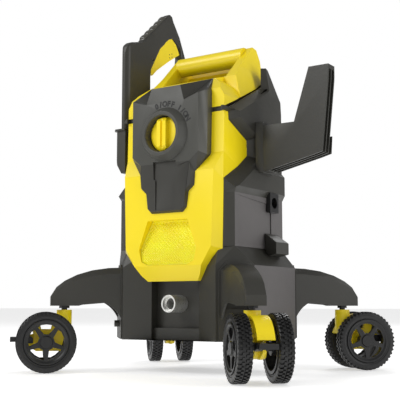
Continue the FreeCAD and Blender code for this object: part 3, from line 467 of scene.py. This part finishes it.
class WASHER_OT_wheels(bpy.types.Operator):
    """Tyres with lugs, on hubs with rounded spokes"""
    bl_idname = "washer.wheels"
    bl_label = "Wheels"

    def execute(self, context):
        for corner in CORNERS:
            for letter in "ab":
                node = f"{corner}_tyre_{letter}"
                tyre = add_piece(f"{node}_finished", tyre_surface(corner, letter), BODY_OF[node], SLOT_OF[node],
                                 crease=24)
                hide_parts(node)
                rounded(f"{corner}_hub_{letter}", sizes().small_edge)
            keep(f"{corner}_axle")
        return {"FINISHED"}


class WASHER_OT_forks(bpy.types.Operator):
    """Yellow forks and black brake levers"""
    bl_idname = "washer.forks"
    bl_label = "Forks and levers"

    def execute(self, context):
        for corner in CORNERS:
            rounded(f"{corner}_fork", sizes().small_edge)
            rounded(f"{corner}_brake_lever", sizes().small_edge)
        keep("caster_stems", "black_plastic")
        return {"FINISHED"}


# ---------------------------------------------------------------- casings

class WASHER_OT_legs(bpy.types.Operator):
    """Four legs with rounded edges, and their screws"""
    bl_idname = "washer.legs"
    bl_label = "Legs"

    def execute(self, context):
        for corner in CORNERS:
            rounded(f"{corner}_leg", sizes().leg_edge, 3)
        keep("leg_screws")
        return {"FINISHED"}


class WASHER_OT_casings(bpy.types.Operator):
    """Base, side shells and what hangs on them"""
    bl_idname = "washer.casings"
    bl_label = "Casings"

    def execute(self, context):
        base = rounded("base_housing", sizes().casing_edge, 3)
        right = rounded("right_shell", sizes().casing_edge, 3)
        rounded("left_shell", sizes().casing_edge, 3)
        base_low, base_high = bounds_of("base_housing")
        recess_top = bounds_of("cord_gland")[1][2]
        out = bounds_of("cord_gland")[0][0]
        # Painted light: the base's right face and the right shell's recessed panel, picked by facing +X, get the
        # paler grey that stands for the side lamp's light; on the panel it is partly its own paler tone
        repaint(base, "painted_side_light", lambda at, normal: (normal[:, 0] > 0.95) & (at[:, 0] > base_high[0] - 0.001))
        repaint(right, "painted_side_light", lambda at, normal: (normal[:, 0] > 0.95) & (at[:, 2] < recess_top)
                & (at[:, 0] > out))
        for node in ("cable_hook", "lower_cable_hook", "gun_holster"):
            rounded(node, sizes().casing_edge)
        rounded("cord_gland", sizes().small_edge)
        return {"FINISHED"}


class WASHER_OT_covers(bpy.types.Operator):
    """Yellow front and top covers"""
    bl_idname = "washer.covers"
    bl_label = "Covers"

    def execute(self, context):
        rounded("front_cover", sizes().cover_edge, 3)
        rounded("top_cover", sizes().cover_edge, 3)
        return {"FINISHED"}


def lens_surface():
    """Patterned lens.

    Goes across (u) and up (v) the lens's outline; the depth at a point is the CAD lens's own
    face plus a diamond wave, the product of two slanting triangle waves, which dies out at the rim.
    """
    low, high = bounds_of("lens")
    pitch = sizes().lens_pitch
    step = pitch / 8
    corners = lens_outline()
    x = np.arange(low[0], high[0] + step, step)
    z = np.arange(low[2], high[2] + step, step)
    share = (z - low[2]) / (high[2] - low[2])
    reach = np.interp(z, corners[:, 1], corners[:, 0])
    across = np.linspace(-1, 1, len(x))[:, None] * reach[None, :]
    up = np.broadcast_to(z[None, :], across.shape)
    rim = smooth_step((reach[None, :] - np.abs(across)) / 0.002) * smooth_step((up - low[2]) / 0.002)
    rim = rim * smooth_step((high[2] - up) / 0.002)
    dense = np.where(up < low[2] + 0.35 * (high[2] - low[2]), 0.7, 1.0)
    a = np.abs((across + up * 1.15) / (pitch * dense) % 1 * 2 - 1)
    b = np.abs((across - up * 1.15) / (pitch * dense) % 1 * 2 - 1)
    face = low[1] + 0.0002 + np.broadcast_to(share[None, :], across.shape) * (high[1] - low[1]) * 0.83
    depth = face + 0.0015 * (1 - np.minimum(a, b)) * rim
    points = np.stack([across, depth, up], 2)
    return grid_mesh("lens", points)


def lens_outline():
    """Half widths of the lens at its heights, lowest first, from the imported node's corners."""
    mesh = nodes["lens"].data
    spots = np.empty(len(mesh.vertices) * 3)
    mesh.vertices.foreach_get("co", spots)
    spots = spots.reshape(-1, 3)
    levels = np.unique(spots[:, 2].round(5))
    return np.array([(np.abs(spots[np.isclose(spots[:, 2], level, atol=2e-5), 0]).max(), level) for level in levels])


class WASHER_OT_lens(bpy.types.Operator):
    """Diamond-patterned lens in the front cover"""
    bl_idname = "washer.lens"
    bl_label = "Lens"

    def execute(self, context):
        lens = add_piece("lens_finished", lens_surface(), BODY_OF["lens"], SLOT_OF["lens"], crease=18)
        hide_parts("lens")
        return {"FINISHED"}


# ---------------------------------------------------------------- dial

class WASHER_OT_dial(bpy.types.Operator):
    """Dial plate, bezel and knob"""
    bl_idname = "washer.dial"
    bl_label = "Dial"

    def execute(self, context):
        panel = rounded("control_panel", sizes().casing_edge * 1.2, 3)
        low, high = bounds_of("control_panel")
        dial_low = bounds_of("dial_bezel")[0][2]
        # Painted shade: the plate's right-hand strip and its tongue below the dial take the darker casing colour,
        # standing for the shade these faces lie in
        repaint(panel, "dark_casing", lambda at, normal: (at[:, 2] < dial_low) | ((at[:, 0] > 0.03)
                                                                                  & (at[:, 2] > 0.405)))
        rounded("dial_bezel", sizes().small_edge, 3)
        rounded("selector_knob", sizes().small_edge, 3)
        keep("rotary_switch")
        return {"FINISHED"}


def dial_text(words, turn, distance, height):
    """Raised figures set round the dial: each letter turned to stand on a circle."""
    low, _ = bounds_of("control_panel")
    centre = JOINTS["knob_turn"]["pos_m"]
    work = bmesh.new()
    advance = height * 0.62 / distance
    for i, letter in enumerate(words):
        data = bpy.data.curves.new("figure", "FONT")
        data.body = letter
        data.size = height
        data.align_x = "CENTER"
        data.extrude = 0.00012
        data.offset = height * 0.05
        holder = bpy.data.objects.new("figure", data)
        bpy.context.scene.collection.objects.link(holder)
        bpy.context.view_layer.update()
        figure = bpy.data.meshes.new_from_object(holder.evaluated_get(bpy.context.evaluated_depsgraph_get()))
        angle = turn + (i - (len(words) - 1) / 2) * advance
        spots = np.empty(len(figure.vertices) * 3)
        figure.vertices.foreach_get("co", spots)
        flat = spots.reshape(-1, 3)
        across, out = flat[:, 0], flat[:, 1] + distance
        x = centre[0] + np.sin(angle) * out + np.cos(angle) * across
        z = centre[2] + np.cos(angle) * out - np.sin(angle) * across
        placed = np.stack([x, low[1] - 0.0001 - flat[:, 2], z], 1)
        figure.vertices.foreach_set("co", placed.ravel())
        work.from_mesh(figure)
        bpy.data.objects.remove(holder)
        bpy.data.meshes.remove(figure)
    mesh = bpy.data.meshes.new("figures")
    bmesh.ops.remove_doubles(work, verts=work.verts, dist=1e-6)
    work.to_mesh(mesh)
    work.free()
    return mesh


class WASHER_OT_marks(bpy.types.Operator):
    """Off and on marks round the dial"""
    bl_idname = "washer.marks"
    bl_label = "Dial marks"

    def execute(self, context):
        low, high = bounds_of("dial_bezel")
        distance = (high[2] - low[2]) / 2 + 0.0014
        step = math.radians(JOINTS["knob_turn"]["range_deg"][1])
        for name, words, turn in (("mark_off", "0/OFF", 0.0), ("mark_on", "1/ON", step)):
            mesh = dial_text(words, turn, distance, sizes().mark_height)
            add_piece(name, mesh, "housing", "black_plastic", "mark_ink")
        return {"FINISHED"}


# ---------------------------------------------------------------- gun

def grip_strip():
    """Ribbed strip along the grip.

    Goes along the grip's upper edge (u) and across it (v).  The height above the edge is a
    crown across the strip times a row of rounded ribs along it, falling to nothing at the ends.
    """
    low, high = bounds_of("gun_grip_pad")
    ribs, count_u, count_v = 5, 121, 15
    run, rise = high[1] - low[1], high[2] - low[2]
    length = math.hypot(run, rise)
    ahead = np.array([0.0, run, rise]) / length
    above = np.array([0.0, -rise, run]) / length
    along = np.linspace(0.0, 1.0, count_u)[:, None]
    side = np.linspace(-1.0, 1.0, count_v)[None, :]
    wave = 0.45 + 0.55 * np.abs(np.sin(np.pi * ribs * along)) ** 0.6
    ends = smooth_step(along / 0.05) * smooth_step((1 - along) / 0.05)
    crown = np.sqrt(np.clip(1 - side ** 4, 0.0, 1.0))
    height = 0.0044 * wave * ends * crown - 0.0006
    half = (high[0] - low[0]) / 2
    start = np.array([(low[0] + high[0]) / 2, low[1], low[2]]) + above * 0.0004
    points = (start + (along * length)[..., None] * ahead + height[..., None] * above
              + (side * half)[..., None] * np.array([1.0, 0.0, 0.0]))
    return grid_mesh("gun_grip_pad", points, flip=True)


def trigger_dots():
    """Four small domes on the trigger's cheek: each is rings (u) round a centre (v) on its side."""
    low, high = bounds_of("gun_trigger")
    middle = low[1:] + (high[1:] - low[1:]) * np.array([0.69, 0.60])
    turn = np.linspace(0, 2 * math.pi, 10, endpoint=False)[:, None]
    ring = np.array([1.0, 0.85, 0.45, 0.0])[None, :]
    rise = np.array([0.0, 0.00025, 0.0004, 0.00045])[None, :]
    work = bmesh.new()
    for across, up in ((-1, -1), (1, -1), (-1, 1), (1, 1)):
        y = middle[0] + across * 0.0034 + 0.0011 * ring * np.cos(turn)
        z = middle[1] + up * 0.0028 + across * 0.0014 + 0.0011 * ring * np.sin(turn)
        x = high[0] + rise - 0.00005 + 0 * turn
        dot = grid_mesh("dot", np.stack([x, y, z], 2), closed_u=True)
        work.from_mesh(dot)
        bpy.data.meshes.remove(dot)
    bmesh.ops.remove_doubles(work, verts=work.verts, dist=1e-6)
    mesh = bpy.data.meshes.new("trigger_dots")
    work.to_mesh(mesh)
    work.free()
    return mesh


class WASHER_OT_gun(bpy.types.Operator):
    """Spray gun with its trigger, grip strip and bayonet"""
    bl_idname = "washer.gun"
    bl_label = "Spray gun"

    def execute(self, context):
        softened("gun_body", sizes().gun_cell, sizes().gun_passes)
        rounded("gun_trigger", sizes().casing_edge, 3, 24)
        add_piece("trigger_dots", trigger_dots(), "trigger", "black_plastic", "mark_ink")
        strip = add_piece("gun_grip_strip", grip_strip(), "gun", "soft_grip")
        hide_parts("gun_grip_pad")
        keep("gun_pins", "black_plastic")
        keep("gun_bayonet")
        return {"FINISHED"}


# ---------------------------------------------------------------- fittings and works

class WASHER_OT_fittings(bpy.types.Operator):
    """Water connectors"""
    bl_idname = "washer.fittings"
    bl_label = "Connectors"

    def execute(self, context):
        rounded("outlet_connector", sizes().small_edge, 3)
        rounded("inlet_connector", sizes().small_edge, 3)
        return {"FINISHED"}


class WASHER_OT_works(bpy.types.Operator):
    """Motor and pump inside the casings"""
    bl_idname = "washer.works"
    bl_label = "Motor and pump"

    def execute(self, context):
        for node in ("motor_can", "motor_rotor", "pump_head", "pump_pistons", "water_pipes"):
            keep(node)
        return {"FINISHED"}


# ---------------------------------------------------------------- stage

def area_light(name, size, power, place, aim, colour=(1.0, 1.0, 1.0)):
    data = bpy.data.lights.new(name, "AREA")
    data.shape = "RECTANGLE"
    data.size, data.size_y = size
    data.energy = power
    data.color = colour
    obj = bpy.data.objects.new(name, data)
    bpy.context.scene.collection.objects.link(obj)
    direction = np.array(aim, float) - np.array(place, float)
    obj.location = place
    flat = math.hypot(direction[0], direction[1])
    obj.rotation_euler = (math.atan2(flat, -direction[2]), 0.0, math.atan2(-direction[0], direction[1]))
    return obj


class WASHER_OT_stage(bpy.types.Operator):
    """Pale floor, soft lights and the camera"""
    bl_idname = "washer.stage"
    bl_label = "Stage"

    def execute(self, context):
        scene = context.scene
        world = bpy.data.worlds.new("studio")
        world.use_nodes = True
        backdrop = world.node_tree.nodes["Background"]
        backdrop.inputs["Color"].default_value = (1.0, 1.0, 1.0, 1.0)
        tree = world.node_tree
        seen = tree.nodes.new("ShaderNodeLightPath")
        level = tree.nodes.new("ShaderNodeMapRange")
        level.inputs["To Min"].default_value = 0.36
        level.inputs["To Max"].default_value = 1.0
        tree.links.new(seen.outputs["Is Camera Ray"], level.inputs["Value"])
        tree.links.new(level.outputs[0], backdrop.inputs["Strength"])
        scene.world = world
        reach = 30.0
        x, y = (axis * reach for axis in np.meshgrid((-1.0, 1.0), (-1.0, 1.0), indexing="ij"))
        floor = bpy.data.objects.new("floor", grid_mesh("floor", np.stack([x, y, np.full((2, 2), -0.0006)], 2)))
        scene.collection.objects.link(floor)
        n = Nodes("floor")
        tint = n.blend(n.spread(n.noise(3.0), 0.0, 1.0), (0.93, 0.93, 0.93), (0.95, 0.95, 0.95))
        n.finish(tint, 0.6, n.relief(n.noise(300.0), 0.00002), Emission_Color=(1.0, 1.0, 1.0, 1.0),
                 Emission_Strength=0.5)
        floor.data.materials.append(n.material)
        area_light("key", (1.3, 1.3), 40.0, (-1.3, -2.2, 2.1), (0.0, 0.0, 0.25))
        area_light("side", (0.8, 2.0), 20.0, (2.6, 0.3, 1.1), (0.0, 0.0, 0.25))
        area_light("rim", (1.0, 1.0), 18.0, (-0.8, 2.4, 2.2), (0.0, 0.0, 0.3))
        camera = bpy.data.cameras.new("camera")
        camera.lens = 77.97
        camera.sensor_width = 36.0
        holder = bpy.data.objects.new("camera", camera)
        turn, distance, height = math.radians(33.2), 1.36227, 0.09835
        holder.location = (math.sin(turn) * distance, -math.cos(turn) * distance, height)
        holder.rotation_euler = (math.radians(90 + 6.99), 0.0, math.radians(33.59))
        scene.collection.objects.link(holder)
        scene.camera = holder
        scene.view_settings.view_transform = "Standard"
        return {"FINISHED"}


# ---------------------------------------------------------------- panel and registration

PIECES = (WASHER_OT_casings, WASHER_OT_covers, WASHER_OT_lens, WASHER_OT_dial, WASHER_OT_marks, WASHER_OT_legs,
          WASHER_OT_forks, WASHER_OT_wheels, WASHER_OT_gun, WASHER_OT_fittings, WASHER_OT_works, WASHER_OT_stage)


class WASHER_PT_pieces(bpy.types.Panel):
    """Lists the washer's sizes, colours and pieces"""
    bl_label = "Pressure washer"
    bl_space_type = "VIEW_3D"
    bl_region_type = "UI"
    bl_category = "Washer"

    def draw(self, context):
        for group in (context.scene.washer_sizes, context.scene.washer_colours):
            for key in group.bl_rna.properties.keys():
                if key not in ("rna_type", "name"):
                    self.layout.prop(group, key)
        for operator in PIECES:
            self.layout.operator(operator.bl_idname)


CLASSES = (WasherSizes, WasherColours, *PIECES, WASHER_PT_pieces)


def register():
    for kind in CLASSES:
        bpy.utils.register_class(kind)
    bpy.types.Scene.washer_sizes = PointerProperty(type=WasherSizes)
    bpy.types.Scene.washer_colours = PointerProperty(type=WasherColours)


def unregister():
    del bpy.types.Scene.washer_colours
    del bpy.types.Scene.washer_sizes
    for kind in reversed(CLASSES):
        bpy.utils.unregister_class(kind)


def main():
    register()
    for operator in PIECES:
        getattr(bpy.ops.washer, operator.bl_idname.split(".")[1])()


if __name__ == "__main__":
    main()
